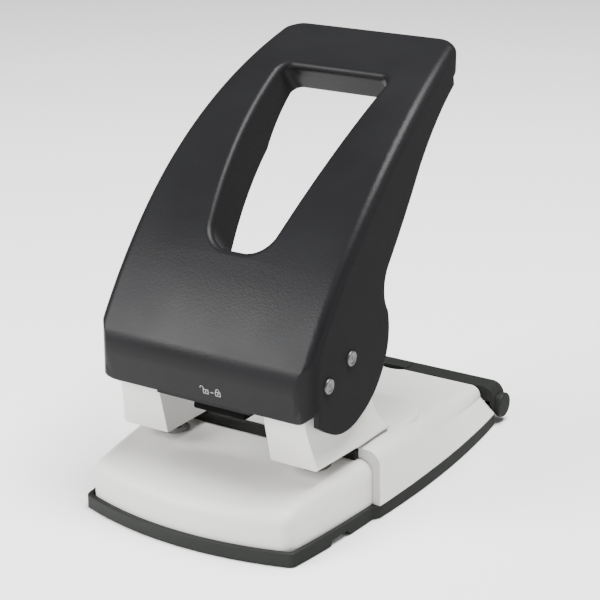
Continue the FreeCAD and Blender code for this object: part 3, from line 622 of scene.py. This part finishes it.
# %% [markdown]
# ## Cover screws
#
# A screw is two rods: a flat head and a shank. The cross recess is cut with two crossed boxes whose
# middles lie on the head's face, so they sink to half its height. Their far faces share one plane, and
# the exact solver cuts that without leaving doubled faces behind. The thread sits inside the covers and
# is left off. The feet need a rod as well, so it is a small function.

# %% A tree for a screw with a cross recess
recess_long, recess_wide = 1.35, 0.26   # length and width of a recess arm, shares of the head's radius


def rod(tree, radius, depth, z, sides):
    """A cylinder of the tree that stands on height z. Radius, depth and z are sockets or numbers."""
    made = add(tree, "GeometryNodeMeshCylinder", {"Vertices": sides, "Radius": radius, "Depth": depth})
    half = add(tree, "ShaderNodeMath", {0: depth, 1: 0.5, 2: z}, operation="MULTIPLY_ADD")
    up = add(tree, "ShaderNodeCombineXYZ", {"Z": half.outputs["Value"]})
    return add(tree, "GeometryNodeTransform", {"Geometry": made.outputs["Mesh"],
                                               "Translation": up.outputs["Vector"]})


screw_tree, given = new_tree("cross_recess_screw", "Head radius", "Head height", "Shank radius", "Length")
head = rod(screw_tree, given["Head radius"], given["Head height"], 0.0, 36)
arm_long, arm_wide = [add(screw_tree, "ShaderNodeMath", {0: given["Head radius"], 1: share},
                          operation="MULTIPLY").outputs["Value"] for share in (recess_long, recess_wide)]
arms = []
for across, along in ((arm_long, arm_wide), (arm_wide, arm_long)):
    size = add(screw_tree, "ShaderNodeCombineXYZ", {"X": across, "Y": along, "Z": given["Head height"]})
    arms.append(add(screw_tree, "GeometryNodeMeshCube", {"Size": size.outputs["Vector"]}).outputs["Mesh"])
recessed = add(screw_tree, "GeometryNodeMeshBoolean", {"Mesh 1": head.outputs["Geometry"],
                                                       "Mesh 2": arms}, operation="DIFFERENCE",
               solver="EXACT")
shank = rod(screw_tree, given["Shank radius"], given["Length"], given["Head height"], 20)
screw = add(screw_tree, "GeometryNodeJoinGeometry", {"Geometry": [recessed.outputs["Mesh"],
                                                                  shank.outputs["Geometry"]]})
end_tree(screw_tree, screw.outputs["Geometry"], given["Geometry"], plated_sheet)

# %% Grow the six screws
head_high = 1.0 * MM
low, high = screw_boxes[0]
values = {"Head radius": (high.x - low.x) / 2, "Head height": head_high, "Shank radius": 1.5 * MM,
          "Length": high.z - low.z - head_high}
screws = grow("cover_screws", screw_tree, values, foot_points(screw_boxes))
stand_in(screws, "base", "base_screws")

# %% [markdown]
# ## Grip feet
#
# A moulded foot is a flat pad with three raised rings that grip the desk. The pad is a rod, and each
# ring is a circle that carries a round bead, half of it sunk in the pad.

# %% A tree for a ringed foot
ring_shares = (0.3, 0.6, 0.9)           # radius of each ring, share of the foot's radius
foot_tree, given = new_tree("ringed_foot", "Radius", "Height", "Ring height")
under = add(foot_tree, "ShaderNodeMath", {0: given["Height"], 1: given["Ring height"]},
            operation="SUBTRACT")
pad = rod(foot_tree, given["Radius"], under.outputs["Value"], given["Ring height"], 48)
lift = add(foot_tree, "ShaderNodeCombineXYZ", {"Z": given["Ring height"]})
parts = [pad.outputs["Geometry"]]
for share in ring_shares:
    ring_r = add(foot_tree, "ShaderNodeMath", {0: given["Radius"], 1: share}, operation="MULTIPLY")
    path = add(foot_tree, "GeometryNodeCurvePrimitiveCircle", {"Resolution": 48,
                                                               "Radius": ring_r.outputs["Value"]})
    bead = add(foot_tree, "GeometryNodeCurvePrimitiveCircle", {"Resolution": 10,
                                                               "Radius": given["Ring height"]})
    ring = add(foot_tree, "GeometryNodeCurveToMesh", {"Curve": path.outputs["Curve"],
                                                      "Profile Curve": bead.outputs["Curve"]})
    lifted = add(foot_tree, "GeometryNodeTransform", {"Geometry": ring.outputs["Mesh"],
                                                      "Translation": lift.outputs["Vector"]})
    parts.append(lifted.outputs["Geometry"])
foot = add(foot_tree, "GeometryNodeJoinGeometry", {"Geometry": parts})
end_tree(foot_tree, foot.outputs["Geometry"], given["Geometry"], foot_rubber)

# %% Grow the four feet
low, high = foot_boxes[0]
values = {"Radius": (high.x - low.x) / 2, "Height": high.z - low.z, "Ring height": 0.3 * MM}
feet = grow("grip_feet", foot_tree, values, foot_points(foot_boxes))
stand_in(feet, "base", "rubber_feet")

# %% [markdown]
# ## Stage
#
# The punch stands on a plain pale floor of matt paint, wide enough to fill the camera's view.

# %% Floor
floor_half = 6.0
floor_mesh = bpy.data.meshes.new("studio_floor")
corners = [(x * floor_half, y * floor_half, 0) for x, y in ((-1, -1), (1, -1), (1, 1), (-1, 1))]
floor_mesh.from_pydata(corners, [], [(0, 1, 2, 3)])
floor = bpy.data.objects.new("studio_floor", floor_mesh)
scene.collection.objects.link(floor)
floor_paint, tree = new_material("pale_matt_paint")
shader = add(tree, "ShaderNodeBsdfPrincipled", {"Base Color": linear("#f7f7f6"), "Roughness": 0.9})
add(tree, "ShaderNodeOutputMaterial", {"Surface": shader.outputs["BSDF"]})
floor_mesh.materials.append(floor_paint)
print("floor, m:", 2 * floor_half)

# %% [markdown]
# ## Light
#
# A soft box low on the front left gives the handle's panel its long grey sheen and leaves the right
# cheek dark. A bigger one overhead lights the paper table and the top of the handle and puts a soft
# shadow under the punch. A little white light from all round keeps the steel pins readable.

# %% Lights
def soft_box(name, place, aim, width, height, power):
    """Rectangular area light at a place, turned toward a point."""
    light = bpy.data.lights.new(name, "AREA")
    light.shape = "RECTANGLE"
    light.size = width
    light.size_y = height
    light.energy = power
    lamp = bpy.data.objects.new(name, light)
    lamp.location = place
    lamp.rotation_euler = (Vector(aim) - Vector(place)).to_track_quat("-Z", "Y").to_euler()
    scene.collection.objects.link(lamp)
    print(name, power, "W")


target = (0.0, 0.0, 0.09)
soft_box("key_front_left", (-0.8, -1.2, 0.85), target, width=0.8, height=0.7, power=44)
soft_box("overhead", (0.35, 0.15, 1.7), target, width=1.0, height=1.0, power=88)
world = bpy.data.worlds.new("studio_air")
world.use_nodes = True
air = world.node_tree.nodes["Background"].inputs
air["Color"].default_value = (1, 1, 1, 1)
air["Strength"].default_value = 0.2
scene.world = world

# %% [markdown]
# ## Camera
#
# A long lens from about 0.9 m, a little above the punch and to its front right, shows the front panel,
# the cheek with both pins, the paper slot and the chip door in one view without strong perspective.

# %% Camera
camera_data = bpy.data.cameras.new("camera")
camera_data.sensor_width = 36.0
camera_data.lens = 106.75
camera_data.clip_start = 0.01
camera_data.clip_end = 50.0
camera = bpy.data.objects.new("camera", camera_data)
camera.location = (0.436125, -0.686394, 0.371607)
camera.rotation_euler = [math.radians(a) for a in (70.642, 0.0, 32.441)]
scene.collection.objects.link(camera)
scene.camera = camera
print("lens, mm:", round(camera_data.lens, 2))
